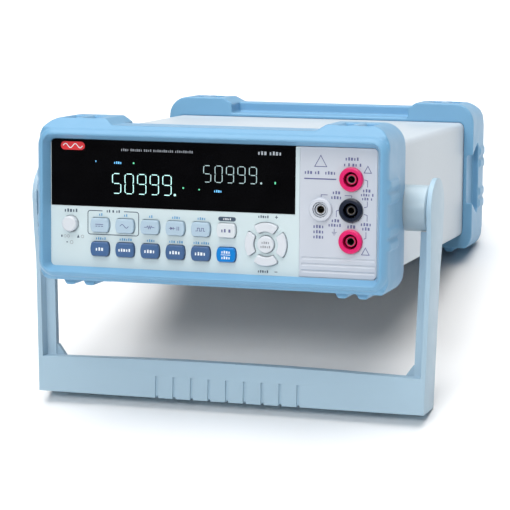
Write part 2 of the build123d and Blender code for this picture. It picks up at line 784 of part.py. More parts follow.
def corner_gusset(top):
    """Small web in the right-hand corner between an arm's rib and the bar."""
    inner_x = HANDLE_W / 2 - HANDLE_TOE_IN - FLANGE_T - RIB_T
    outline = make_face(Polyline(
        (inner_x + 2.0, top - 2.0),
        (inner_x + 2.0, top + GUSSET_H),
        (inner_x, top + GUSSET_H),
        (inner_x - GUSSET_W, top),
        (inner_x - GUSSET_W, top - 2.0),
        close=True,
    ))
    return slab(outline, RIB_FRONT + 1.0, RIB_BACK)


def handle_bar():
    """Grip bar: an upright wall with finger grooves in front, and a ledge behind its foot."""
    low = -HANDLE_DROP
    top = low + BAR_H
    front = -ARM_HALF_DEPTH
    bar = slab(bar_outline(low, top, BAR_ARCH), front, front + BAR_WALL)
    bar += slab(bar_outline(low, low + BAR_LEDGE_H, 0.1), front + BAR_WALL - 0.1, ARM_HALF_DEPTH)
    gusset = corner_gusset(top)
    bar += gusset + mirrored(gusset)
    first = -GRIP_PITCH * (GRIP_GROOVES - 1) / 2
    for number in range(GRIP_GROOVES):
        x = first + GRIP_PITCH * number
        across = (x - GRIP_GROOVE_W / 2, x + GRIP_GROOVE_W / 2)
        bar -= block(across, (front - 1, front + GRIP_GROOVE_T), (low - 1, low + GRIP_GROOVE_H))
        bar -= block(across, (front - 1, front + BAR_WALL), (low - 1, low + GRIP_GROOVE_T))
    return bar


def handle():
    """Both arms and the bar in one moulding, leaning slightly forward from square."""
    arm = handle_arm()
    whole = arm + mirrored(arm) + handle_bar()
    return Pos(0, PIVOT_Y, PIVOT_Z) * Rot(X=-HANDLE_LEAN) * whole


# ------------------------------------------------------------------ boards and parts inside
def front_board():
    """Circuit board behind the keys and display."""
    return slab(rectangle_between((-84.0, 53.5), (-36.5, 35.5)), FRONT_BOARD_Y, FRONT_BOARD_Y + BOARD_T)


def display_tube():
    """Glass display module standing on the front board, with a row of pins below."""
    tube = slab(rectangle_between((-82.0, 44.0), (6.0, 33.0)), 4.0, FRONT_BOARD_Y - 0.02)
    return fillet(tube.edges().group_by(Axis.Y)[0], 0.8)


def main_board():
    """Main circuit board on its standoffs."""
    board = block((-98.0, 98.0), (24.0, 272.0), (MAIN_BOARD_Z, MAIN_BOARD_Z + BOARD_T))
    for x, y in standoff_points():
        board -= post(x, y, M3_R + 0.1, MAIN_BOARD_Z - 1, MAIN_BOARD_Z + 3)
    return board


def board_standoffs():
    """Hexagonal spacers between the chassis base and the main board."""
    solids = []
    low = CASE_BOTTOM + SHEET + 0.02
    high = MAIN_BOARD_Z - 0.02
    for x, y in standoff_points():
        spacer = extrude(Pos(x, y, low) * RegularPolygon(3.2, 6), high - low)
        solids.append(spacer - post(x, y, M3_R + 0.02, low - 1, high + 1))
    return group(solids)


def pan_screw(length):
    """An M3 screw along -Z with its head's underside at the origin and a cross recess."""
    head = Pos(0, 0, M3_HEAD_T / 2) * Cylinder(M3_HEAD_R, M3_HEAD_T)
    head = fillet(head.edges().group_by(Axis.Z)[-1], 0.8)
    for angle in (0, 90):
        head -= Pos(0, 0, M3_HEAD_T) * Rot(0, 0, angle) * Box(3.0, 0.8, 1.4)
    return head + Pos(0, 0, -length / 2) * Cylinder(M3_R, length)


def m3_screws():
    """Screws under the base, on top of the main board and in the rear corners."""
    solids = []
    for x, y in standoff_points():
        solids.append(Pos(x, y, CASE_BOTTOM - 0.02) * Rot(X=180) * pan_screw(4.0))
        solids.append(Pos(x, y, MAIN_BOARD_Z + BOARD_T + 0.02) * pan_screw(4.0))
    rear = REAR_PANEL_Y + REAR_PANEL_T + 3.1
    for x, z in rear_screw_points():
        solids.append(Pos(x, rear, z) * Rot(X=-90) * pan_screw(11.0))
    return group(solids)


CORE_X = 20.0
CORE_Y = 232.0


def transformer_core():
    """Laminated core with its two windows."""
    half_w = 27.0
    half_t = 16.0
    y_range = (CORE_Y - half_t, CORE_Y + half_t)
    core = block((CORE_X - half_w, CORE_X + half_w), y_range, (ON_BOARD, ON_BOARD + 45.0))
    for side in (-1, 1):
        middle = CORE_X + side * half_w / 2
        core -= block((middle - 5.5, middle + 5.5), y_range, (ON_BOARD + 9.0, ON_BOARD + 36.0))
    return core


def transformer_winding():
    """Bobbin and winding round the core's middle leg."""
    z_range = (ON_BOARD + 9.2, ON_BOARD + 35.8)
    winding = block((CORE_X - 18.8, CORE_X + 18.8), (CORE_Y - 25.0, CORE_Y + 25.0), z_range)
    winding = fillet(winding.edges().filter_by(Axis.Z), 4.0)
    leg = block((CORE_X - 8.1, CORE_X + 8.1), (CORE_Y - 16.1, CORE_Y + 16.1), z_range)
    return winding - leg


def heatsink():
    """Finned aluminium heatsink beside the transformer."""
    z_range = (ON_BOARD, ON_BOARD + 34.0)
    sink = block((-56.0, -53.0), (200.0, 250.0), z_range)
    for number in range(8):
        y = 200.0 + 6.8 * number
        sink += block((-74.0, -53.0), (y, y + 1.8), z_range)
    return sink


def filter_capacitors():
    """Four upright smoothing capacitors."""
    solids = []
    for y in (178.0, 196.0):
        for x in (-40.0, -20.0):
            can = post(x, y, 8.0, ON_BOARD, ON_BOARD + 26.0)
            solids.append(fillet(can.edges().group_by(Axis.Z)[-1], 1.0))
    return group(solids)


def relays():
    """Range-switching relays near the jacks."""
    solids = []
    for row in range(2):
        for column in range(3):
            x = 30.0 + 24.0 * row
            y = 62.0 + 16.0 * column
            solids.append(block((x - 10, x + 10), (y - 5, y + 5), (ON_BOARD, ON_BOARD + 12.0)))
    return group(solids)


def amp_fuse():
    """Ceramic cartridge fuse of the large-current input."""
    return Pos(84.0, 60.0, ON_BOARD + 7.0) * cartridge(38.0, 5.15, 9.0)


def ribbon_cable():
    """Flat cable from the front board down to the main board."""
    width = (-30.0, 10.0)
    drop_y = FRONT_BOARD_Y + BOARD_T + 0.1
    bend_y = drop_y + 14.0
    top = -25.0
    path = make_face(Polyline(
        (drop_y, top),
        (bend_y, top),
        (bend_y, ON_BOARD),
        (bend_y - 1.0, ON_BOARD),
        (bend_y - 1.0, top - 1.0),
        (drop_y, top - 1.0),
        close=True,
    ))
    return side_slab(path, *width)


# ------------------------------------------------------------------ rear connectors
INLET_BACK = REAR_PANEL_Y + REAR_PANEL_T + 2.4
SOCKET_Z = INLET_Z + 5.5
SOCKET_W = 24.5
SOCKET_H = 17.0
SOCKET_DEPTH = 18.0
DRAWER_Z = INLET_Z - 11.0
DRAWER_W = 21.0
DRAWER_H = 8.5


def socket_outline(grow=0.0):
    """Mouth of the mains inlet: a rectangle with two corners cut off."""
    w = SOCKET_W / 2 + grow
    h = SOCKET_H / 2 + grow
    cut = 4.5
    return Pos(INLET_X, SOCKET_Z) * make_face(Polyline(
        (-w, -h), (w, -h), (w, h - cut), (w - cut, h), (cut - w, h), (-w, h - cut), close=True
    ))


def iec_inlet():
    """Mains inlet body with its plug recess and the slot for the fuse drawer."""
    flange_front = REAR_PANEL_Y + REAR_PANEL_T + 0.02
    body = slab(Pos(INLET_X, INLET_Z) * RectangleRounded(33.0, 39.0, 3.0), flange_front, INLET_BACK)
    body = chamfer(body.edges().group_by(Axis.Y)[-1], 0.8)
    inner = Pos(INLET_X, INLET_Z) * Rectangle(INLET_BODY_W, INLET_BODY_H)
    body += slab(inner, INLET_BACK - 28.0, flange_front)
    body -= slab(socket_outline(), INLET_BACK - SOCKET_DEPTH, INLET_BACK + 1)
    slot = Pos(INLET_X, DRAWER_Z) * Rectangle(DRAWER_W + 0.7, DRAWER_H + 0.7)
    return body - slab(slot, INLET_BACK - 26.0, INLET_BACK + 1)


def inlet_pins():
    """Line, neutral and earth pins inside the inlet."""
    solids = []
    for x, z in ((-7.0, -1.5), (7.0, -1.5), (0.0, 2.5)):
        outline = Pos(INLET_X + x, SOCKET_Z + z) * Rectangle(2.0, 4.0)
        solids.append(slab(outline, INLET_BACK - SOCKET_DEPTH + 0.02, INLET_BACK - 3.0))
    return group(solids)


def line_fuse_drawer():
    """Drawer that holds the mains fuse, with a finger recess across its face."""
    centre = Pos(INLET_X, DRAWER_Z)
    tray = slab(centre * Rectangle(DRAWER_W, DRAWER_H), INLET_BACK - 25.0, INLET_BACK + 1.0)
    tray = chamfer(tray.edges().group_by(Axis.Y)[-1], 0.5)
    tray -= slab(centre * Rectangle(8.0, 2.4), INLET_BACK - 0.6, INLET_BACK + 2.0)
    across = (INLET_X - 4.0, INLET_X + 4.0)
    return tray - block(across, (INLET_BACK - 24.0, INLET_BACK - 2.5), (DRAWER_Z - 2.8, DRAWER_Z + 6.0))


def line_fuse():
    """Mains fuse lying in its drawer."""
    return Pos(INLET_X, INLET_BACK - 23.3, DRAWER_Z) * cartridge(20.0, 2.6, 5.0)


def usb_port():
    """Square data port with its tongue."""
    back = REAR_PANEL_Y + REAR_PANEL_T
    centre = Pos(USB_X, REAR_PORT_Z)
    shell = slab(centre * Rectangle(USB_W, USB_H), back - 16.0, back + 0.6)
    mouth = slab(centre * Rectangle(8.4, 7.8), back - 9.0, back + 2.0)
    tongue = slab(centre * Rectangle(5.6, 3.2), back - 9.0, back - 1.0)
    return shell - mouth + tongue


def io_connector():
    """Nine-way D-shaped port with its jack posts."""
    back = REAR_PANEL_Y + REAR_PANEL_T
    centre = Pos(IO_X, REAR_PORT_Z)
    shape = make_face(Polyline((-9.3, 4.6), (9.3, 4.6), (8.0, -4.6), (-8.0, -4.6), close=True))
    hood = slab(centre * fillet(shape.vertices(), 1.6), back + 0.8, back + 5.8)
    flange = slab(centre * RectangleRounded(31.0, 12.6, 1.5), back + 0.05, back + 0.8)
    body = hood + flange + slab(centre * Rectangle(IO_BODY_W, IO_BODY_H), back - 9.0, back + 0.05)
    for column in range(5):
        body -= disc(IO_X - 5.6 + 2.8 * column, REAR_PORT_Z + 1.4, 0.6, back + 2.0, back + 7)
    for column in range(4):
        body -= disc(IO_X - 4.2 + 2.8 * column, REAR_PORT_Z - 1.4, 0.6, back + 2.0, back + 7)
    for side in (-1, 1):
        hexagon = Pos(IO_X + side * 12.5, REAR_PORT_Z) * RegularPolygon(2.7, 6)
        body += slab(hexagon, back + 0.8, back + 5.0)
    return body


# ------------------------------------------------------------------ assembly
def level_pieces():
    """Every piece by name, with the case level."""
    pieces = {
        "case_cover": case_cover(),
        "chassis_base": chassis_base(),
        "rear_panel": rear_panel(),
        "front_bumper": front_bumper(),
        "rear_bumper": rear_bumper(),
        "front_panel": front_panel(),
        "terminal_panel": terminal_panel(),
        "display_window": display_window(),
        "power_button": power_button(),
        "power_switch": power_switch(),
        "tact_switches": tact_switches(),
        "nav_key_centre": nav_centre_key(),
        "jack_contacts": jack_contacts(),
        "jack_nuts": jack_nuts(),
        "fuse_jack_socket": fuse_jack_socket(),
        "fuse_carrier": fuse_carrier(),
        "fuse_jack_contact": fuse_jack_contact(),
        "input_fuse": input_fuse(),
        "hub_right": hub(),
        "hub_left": mirrored(hub()),
        "hub_screws": hub_screws(),
        "hub_wave_washers": hub_wave_washers(),
        "handle": handle(),
        "front_board": front_board(),
        "display_tube": display_tube(),
        "main_board": main_board(),
        "board_standoffs": board_standoffs(),
        "m3_screws": m3_screws(),
        "transformer_core": transformer_core(),
        "transformer_winding": transformer_winding(),
        "heatsink": heatsink(),
        "filter_capacitors": filter_capacitors(),
        "relays": relays(),
        "amp_fuse": amp_fuse(),
        "ribbon_cable": ribbon_cable(),
        "iec_inlet": iec_inlet(),
        "inlet_pins": inlet_pins(),
        "line_fuse_drawer": line_fuse_drawer(),
        "line_fuse": line_fuse(),
        "usb_port": usb_port(),
        "io_connector": io_connector(),
    }
    for name, x, z in key_points():
        pieces[name] = rectangular_key(x, z)
    for name, angle in NAV_ANGLES.items():
        pieces[name] = nav_key(angle)
    for name, x, z in jack_points():
        pieces[name] = jack_shell(x, z)
    return pieces


def standing_tilt():
    """Angle at which the handle's rear lower edge and the rearmost feet share a floor."""
    lean = radians(HANDLE_LEAN)
    bar_y = PIVOT_Y + ARM_HALF_DEPTH * cos(lean) - HANDLE_DROP * sin(lean)
    bar_z = PIVOT_Z - ARM_HALF_DEPTH * sin(lean) - HANDLE_DROP * cos(lean)
    foot_y = BUMPER_REAR - FOOT_SETBACK - 0.6
    foot_z = -PAD_H / 2
    return degrees(atan2(foot_z - bar_z, foot_y - bar_y))


def standing_pieces():
    """Every piece tipped back on the stand, with the origin below the middle, on the floor."""
    tilt = Rot(X=-standing_tilt())
    tipped = {name: tilt * piece for name, piece in level_pieces().items()}
    box = group(tipped.values()).bounding_box()
    shift = Pos(-box.center().X, -box.center().Y, -box.min.Z)
    return {name: shift * piece for name, piece in tipped.items()}


os.makedirs("parts", exist_ok=True)
for node, piece in standing_pieces().items():
    export_step(piece, f"parts/{node}.step")
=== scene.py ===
import bmesh
import bpy
import json
import math
from mathutils import Matrix, Vector


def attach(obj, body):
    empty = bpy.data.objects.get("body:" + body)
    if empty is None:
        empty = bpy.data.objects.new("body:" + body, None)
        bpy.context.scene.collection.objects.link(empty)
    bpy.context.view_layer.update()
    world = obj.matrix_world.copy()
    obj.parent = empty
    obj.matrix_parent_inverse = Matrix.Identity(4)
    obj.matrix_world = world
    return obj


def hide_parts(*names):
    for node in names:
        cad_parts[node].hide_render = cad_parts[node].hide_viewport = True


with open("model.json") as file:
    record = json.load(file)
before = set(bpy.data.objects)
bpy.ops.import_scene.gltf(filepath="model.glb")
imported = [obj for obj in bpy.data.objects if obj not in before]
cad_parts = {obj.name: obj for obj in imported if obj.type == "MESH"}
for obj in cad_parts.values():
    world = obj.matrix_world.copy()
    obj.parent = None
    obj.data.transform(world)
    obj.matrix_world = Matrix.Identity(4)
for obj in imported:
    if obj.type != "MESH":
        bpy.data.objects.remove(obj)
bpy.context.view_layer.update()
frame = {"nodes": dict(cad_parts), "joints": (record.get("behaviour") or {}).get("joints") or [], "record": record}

# The looks of a bench multimeter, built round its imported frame.  Shapes are worked out in
# the meter's own level coordinates, in millimetres (X across the front panel, Y from the
# panel backwards, Z up, origin at the centre of the panel's face), and LEVEL carries them
# into the frame, in metres, where the meter stands tipped back on its handle.

JOINTS = {joint["name"]: joint for joint in frame["joints"]}
SLOT_OF = {entry["node"]: entry["material_slot"] for entry in frame["record"]["subparts"]}
BODY_OF = {
    node: body
    for body, members in frame["record"]["behaviour"]["bodies"].items()
    for node in members
}

MM = 0.001
PIVOT_Y = 50.7
PIVOT_Z = -0.4


def level_matrix():
    """Level millimetres to frame metres, found from the handle's pivot and a key's travel."""
    inward = Vector(JOINTS["power_press"]["axis"])
    upward = Vector((0.0, -inward.z, inward.y))
    pivot = Vector(JOINTS["handle_swing"]["pos_m"])
    origin = pivot - inward * PIVOT_Y * MM - upward * PIVOT_Z * MM
    across = Vector((MM, 0.0, 0.0))
    rows = zip(across, inward * MM, upward * MM, origin)
    return Matrix([list(row) for row in rows] + [[0.0, 0.0, 0.0, 1.0]])


LEVEL = level_matrix()


# ------------------------------------------------------------------ materials
def new_material(name):
    """A node material with its shader and object coordinates ready."""
    material = bpy.data.materials.new(name)
    material.use_nodes = True
    nodes = material.node_tree.nodes
    shader = nodes["Principled BSDF"]
    coordinates = nodes.new("ShaderNodeTexCoord")
    return material, nodes, material.node_tree.links, shader, coordinates.outputs["Object"]


def noise(nodes, links, place, scale, detail=3.0, roughness=0.5):
    """A noise texture at a scale in waves per metre."""
    texture = nodes.new("ShaderNodeTexNoise")
    texture.inputs["Scale"].default_value = scale
    texture.inputs["Detail"].default_value = detail
    texture.inputs["Roughness"].default_value = roughness
    links.new(place, texture.inputs["Vector"])
    return texture.outputs["Fac"]


def ramp(nodes, links, value, stops):
    """A colour ramp from a list of (position, colour)."""
    node = nodes.new("ShaderNodeValToRGB")
    elements = node.color_ramp.elements
    while len(elements) < len(stops):
        elements.new(0.5)
    for element, (position, colour) in zip(elements, stops):
        element.position = position
        element.color = (*colour, 1.0)
    links.new(value, node.inputs["Fac"])
    return node.outputs["Color"]


def spread(nodes, links, value, low, high):
    """A value from about 0.3 to 0.7 spread from low to high."""
    node = nodes.new("ShaderNodeMapRange")
    node.inputs["From Min"].default_value = 0.3
    node.inputs["From Max"].default_value = 0.7
    node.inputs["To Min"].default_value = low
    node.inputs["To Max"].default_value = high
    links.new(value, node.inputs["Value"])
    return node.outputs["Result"]


def bump(nodes, links, height, distance, strength, normal=None):
    """A bump of a given depth in metres, on top of another if one is given."""
    node = nodes.new("ShaderNodeBump")
    node.inputs["Distance"].default_value = distance
    node.inputs["Strength"].default_value = strength
    links.new(height, node.inputs["Height"])
    if normal:
        links.new(normal, node.inputs["Normal"])
    return node.outputs["Normal"]


def shaded(colour, factor):
    """The same colour, lighter or darker."""
    return tuple(min(1.0, channel * factor) for channel in colour)


def two_tones(colour, darker, lighter):
    """Ramp stops between a darker and a lighter shade of one colour."""
    return [(0.3, shaded(colour, darker)), (0.7, shaded(colour, lighter))]


def moulded(
    name, colour, roughness, grain=1800.0, depth=0.00003, clouds=18.0, variation=0.05, coat=0.0, sheen=0.0
):
    """Moulded plastic or rubber: spark-eroded grain, faint clouding and uneven sheen."""
    material, nodes, links, shader, place = new_material(name)
    cloud = noise(nodes, links, place, clouds, 4.0)
    tint = ramp(nodes, links, cloud, two_tones(colour, 1 - variation, 1 + variation))
    links.new(tint, shader.inputs["Base Color"])
    speckle = noise(nodes, links, place, grain, 2.0)
    polish = noise(nodes, links, place, clouds * 5, 3.0)
    links.new(spread(nodes, links, polish, roughness * 0.88, roughness * 1.12), shader.inputs["Roughness"])
    waviness = bump(nodes, links, polish, depth * 2, 0.25)
    links.new(bump(nodes, links, speckle, depth, 0.5, waviness), shader.inputs["Normal"])
    shader.inputs["Coat Weight"].default_value = coat
    shader.inputs["Coat Roughness"].default_value = 0.08
    shader.inputs["Sheen Weight"].default_value = sheen
    shader.inputs["Sheen Roughness"].default_value = 0.4
    return material


def painted(name, colour, roughness):
    """Powder-coated sheet: orange-peel texture with a soft sheen."""
    material, nodes, links, shader, place = new_material(name)
    cloud = noise(nodes, links, place, 9.0, 3.0)
    tint = ramp(nodes, links, cloud, two_tones(colour, 0.98, 1.015))
    links.new(tint, shader.inputs["Base Color"])
    peel = noise(nodes, links, place, 900.0, 2.0)
    fine = noise(nodes, links, place, 4000.0, 2.0)
    links.new(spread(nodes, links, peel, roughness * 0.92, roughness * 1.08), shader.inputs["Roughness"])
    orange_peel = bump(nodes, links, peel, 0.00004, 0.35)
    links.new(bump(nodes, links, fine, 0.00001, 0.3, orange_peel), shader.inputs["Normal"])
    return material


def metal(name, colour, roughness, brush=(60.0, 60.0, 2600.0)):
    """Plated or brushed metal with fine directional scratches and slight tarnish."""
    material, nodes, links, shader, place = new_material(name)
    stretch = nodes.new("ShaderNodeMapping")
    stretch.inputs["Scale"].default_value = brush
    links.new(place, stretch.inputs["Vector"])
    scratches = noise(nodes, links, stretch.outputs["Vector"], 1.0, 4.0, 0.7)
    tarnish = noise(nodes, links, place, 140.0, 4.0)
    tint = ramp(nodes, links, tarnish, two_tones(colour, 0.94, 1.06))
    links.new(tint, shader.inputs["Base Color"])
    links.new(spread(nodes, links, scratches, roughness * 0.7, roughness * 1.3), shader.inputs["Roughness"])
    links.new(bump(nodes, links, scratches, 0.00001, 0.3), shader.inputs["Normal"])
    shader.inputs["Metallic"].default_value = 1.0
    return material


def circuit(name):
    """Green solder mask with copper tracks just showing through it."""
    material, nodes, links, shader, place = new_material(name)
    cells = nodes.new("ShaderNodeTexVoronoi")
    cells.distance = "MANHATTAN"
    cells.feature = "DISTANCE_TO_EDGE"
    cells.inputs["Scale"].default_value = 220.0
    links.new(place, cells.inputs["Vector"])
    greens = [(0.03, (0.06, 0.28, 0.12)), (0.10, (0.015, 0.13, 0.055))]
    tint = ramp(nodes, links, cells.outputs["Distance"], greens)
    links.new(tint, shader.inputs["Base Color"])
    links.new(bump(nodes, links, cells.outputs["Distance"], 0.00003, 0.4), shader.inputs["Normal"])
    shader.inputs["Roughness"].default_value = 0.35
    return material


def banded(name, dark, light, scale, roughness):
    """Wound tape, laminations or ribbon strands: fine parallel bands."""
    material, nodes, links, shader, place = new_material(name)
    bands = nodes.new("ShaderNodeTexWave")
    bands.bands_direction = "X"
    bands.inputs["Scale"].default_value = scale
    bands.inputs["Distortion"].default_value = 0.4
    links.new(place, bands.inputs["Vector"])
    tint = ramp(nodes, links, bands.outputs["Fac"], [(0.2, dark), (0.8, light)])
    links.new(tint, shader.inputs["Base Color"])
    links.new(bump(nodes, links, bands.outputs["Fac"], 0.0001, 0.5), shader.inputs["Normal"])
    shader.inputs["Roughness"].default_value = roughness
    return material


def window_glass(name):
    """Smoked acrylic: near black, polished, with faint dust in its sheen."""
    material, nodes, links, shader, place = new_material(name)
    haze = noise(nodes, links, place, 60.0, 5.0)
    blacks = [(0.3, (0.0012, 0.0012, 0.0016)), (0.7, (0.002, 0.002, 0.0026))]
    links.new(ramp(nodes, links, haze, blacks), shader.inputs["Base Color"])
    links.new(spread(nodes, links, haze, 0.07, 0.13), shader.inputs["Roughness"])
    shader.inputs["Specular IOR Level"].default_value = 0.35
    return material


def lit_segment(name, colour, strength):
    """Glowing display segment, a little uneven as a phosphor is."""
    material, nodes, links, shader, place = new_material(name)
    glow = noise(nodes, links, place, 700.0, 2.0)
    tint = ramp(nodes, links, glow, two_tones(colour, 0.8, 1.0))
    links.new(tint, shader.inputs["Emission Color"])
    links.new(tint, shader.inputs["Base Color"])
    shader.inputs["Emission Strength"].default_value = strength
    shader.inputs["Roughness"].default_value = 0.5
    return material


def printed(name, colour):
    """Screen-printed ink with a slightly broken edge to its density."""
    return moulded(name, colour, 0.5, grain=5000.0, depth=0.00001, clouds=400.0, variation=0.12)


def dusty_glass(name, colour):
    """Dark glass of the display tube and fuses."""
    material, nodes, links, shader, place = new_material(name)
    haze = noise(nodes, links, place, 90.0, 4.0)
    tint = ramp(nodes, links, haze, two_tones(colour, 0.8, 1.0))
    links.new(tint, shader.inputs["Base Color"])
    links.new(spread(nodes, links, haze, 0.04, 0.14), shader.inputs["Roughness"])
    shader.inputs["Transmission Weight"].default_value = 0.6
    return material


MATERIALS = {
    "case_paint": painted("case_paint", (0.55, 0.62, 0.68), 0.42),
    "rear_paint": painted("rear_paint", (0.66, 0.72, 0.78), 0.45),
    "base_steel": metal("base_steel", (0.60, 0.62, 0.64), 0.42, (40.0, 900.0, 40.0)),
    "bumper_rubber": moulded("bumper_rubber", (0.16, 0.37, 0.575), 0.45, variation=0.03, sheen=0.12),
    "panel_plastic": moulded("panel_plastic", (0.58, 0.69, 0.72), 0.48, variation=0.02),
    "terminal_plastic": moulded("terminal_plastic", (0.53, 0.57, 0.64), 0.48, variation=0.02),
    "window_acrylic": window_glass("window_acrylic"),
    "button_white": moulded("button_white", (0.63, 0.67, 0.72), 0.38, variation=0.02),
    "key_pale": moulded("key_pale", (0.41, 0.54, 0.65), 0.36, variation=0.02),
    "key_slate": moulded("key_slate", (0.055, 0.125, 0.275), 0.36, variation=0.05),
    "key_white": moulded("key_white", (0.63, 0.68, 0.72), 0.36, variation=0.02),
    "key_blue": moulded("key_blue", (0.0, 0.20, 0.60), 0.30, variation=0.05, coat=0.1),
    "jack_red": moulded("jack_red", (0.68, 0.010, 0.135), 0.34, variation=0.04, coat=0.1),
    "jack_black": moulded("jack_black", (0.007, 0.012, 0.028), 0.30, variation=0.08, coat=0.1),
    "jack_white": moulded("jack_white", (0.56, 0.60, 0.67), 0.30, variation=0.02, coat=0.1),
    "contact_brass": metal("contact_brass", (0.24, 0.22, 0.19), 0.34),
    "nut_steel": metal("nut_steel", (0.58, 0.59, 0.60), 0.32),
    "screw_steel": metal("screw_steel", (0.50, 0.51, 0.53), 0.30),
    "hub_plastic": moulded("hub_plastic", (0.46, 0.57, 0.63), 0.36, variation=0.02),
    "handle_plastic": moulded("handle_plastic", (0.37, 0.52, 0.63), 0.46, variation=0.025, sheen=0.10),
    "circuit_board": circuit("circuit_board"),
    "tube_glass": dusty_glass("tube_glass", (0.05, 0.07, 0.07)),
    "core_iron": banded("core_iron", (0.10, 0.09, 0.085), (0.22, 0.20, 0.19), 900.0, 0.5),
    "winding_tape": banded("winding_tape", (0.52, 0.34, 0.05), (0.72, 0.52, 0.12), 130.0, 0.35),
    "sink_aluminium": metal("sink_aluminium", (0.66, 0.67, 0.69), 0.38, (60.0, 60.0, 1500.0)),
    "capacitor_sleeve": moulded("capacitor_sleeve", (0.02, 0.03, 0.09), 0.25, variation=0.1, coat=0.3),
    "relay_plastic": moulded("relay_plastic", (0.70, 0.73, 0.70), 0.30, variation=0.03),
    "fuse_ceramic": moulded("fuse_ceramic", (0.80, 0.79, 0.74), 0.30, variation=0.03, coat=0.3),
    "fuse_glass": dusty_glass("fuse_glass", (0.60, 0.66, 0.66)),
    "ribbon_grey": banded("ribbon_grey", (0.24, 0.25, 0.27), (0.46, 0.47, 0.49), 250.0, 0.5),
    "black_moulding": moulded("black_moulding", (0.018, 0.018, 0.020), 0.42, variation=0.12),
    "port_steel": metal("port_steel", (0.60, 0.61, 0.63), 0.30),
}


# ------------------------------------------------------------------ pieces from CAD nodes
def welded(node):
    """A CAD node's mesh with its split corners joined again, as a new mesh."""
    shape = bmesh.new()
    shape.from_mesh(frame["nodes"][node].data)
    bmesh.ops.remove_doubles(shape, verts=shape.verts, dist=1e-6)
    bmesh.ops.dissolve_limit(shape, angle_limit=math.radians(0.5), verts=shape.verts, edges=shape.edges)
    mesh = bpy.data.meshes.new(node + "_skin")
    shape.to_mesh(mesh)
    shape.free()
    return mesh


def show(piece, node):
    """Gives a finished piece its node's material and slot and lets it ride on the node's body."""
    slot = SLOT_OF[node]
    piece.data.materials.clear()
    piece.data.materials.append(MATERIALS[slot])
    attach(piece, BODY_OF[node])


def bake(piece):
    """Makes the piece's modifiers real."""
    graph = bpy.context.evaluated_depsgraph_get()
    mesh = bpy.data.meshes.new_from_object(piece.evaluated_get(graph))
    piece.modifiers.clear()
    piece.data = mesh


def linked(name, mesh):
    """A new object in the scene."""
    piece = bpy.data.objects.new(name, mesh)
    bpy.context.scene.collection.objects.link(piece)
    return piece


def smooth_shading(mesh, angle):
    """Smooth faces, with creases where the surface turns by more than angle degrees."""
    mesh.polygons.foreach_set("use_smooth", [True] * len(mesh.polygons))
    mesh.set_sharp_from_angle(angle=math.radians(angle))


def bevelled(node, width):
    """Stands in for a crisp-edged node: the same shape with its sharp edges rounded."""
    piece = linked(node + "_rounded", welded(node))
    edge = piece.modifiers.new("edge", "BEVEL")
    edge.width = width * MM
    edge.segments = 3
    edge.limit_method = "ANGLE"
    edge.angle_limit = math.radians(32)
    edge.use_clamp_overlap = True
    bake(piece)
    smooth_shading(piece.data, 40)
    show(piece, node)
    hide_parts(node)


def softened(node, voxel):
    """Stands in for a moulded node: its form rebuilt finely with every edge melted round."""
    piece = linked(node + "_moulding", welded(node))
    fine = piece.modifiers.new("fine", "REMESH")
    fine.mode = "VOXEL"
    fine.voxel_size = voxel * MM
    melt = piece.modifiers.new("melt", "SMOOTH")
    melt.factor = 0.5
    melt.iterations = 3
    thin = piece.modifiers.new("thin", "DECIMATE")
    thin.ratio = 0.35
    bake(piece)
    smooth_shading(piece.data, 70)
    show(piece, node)
    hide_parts(node)


for node, slot in SLOT_OF.items():
    part = frame["nodes"][node]
    part.data.materials.clear()
    part.data.materials.append(MATERIALS[slot])

voxel = 0.75
softened("front_bumper", voxel)
softened("rear_bumper", voxel)
bevelled("handle", 0.7)


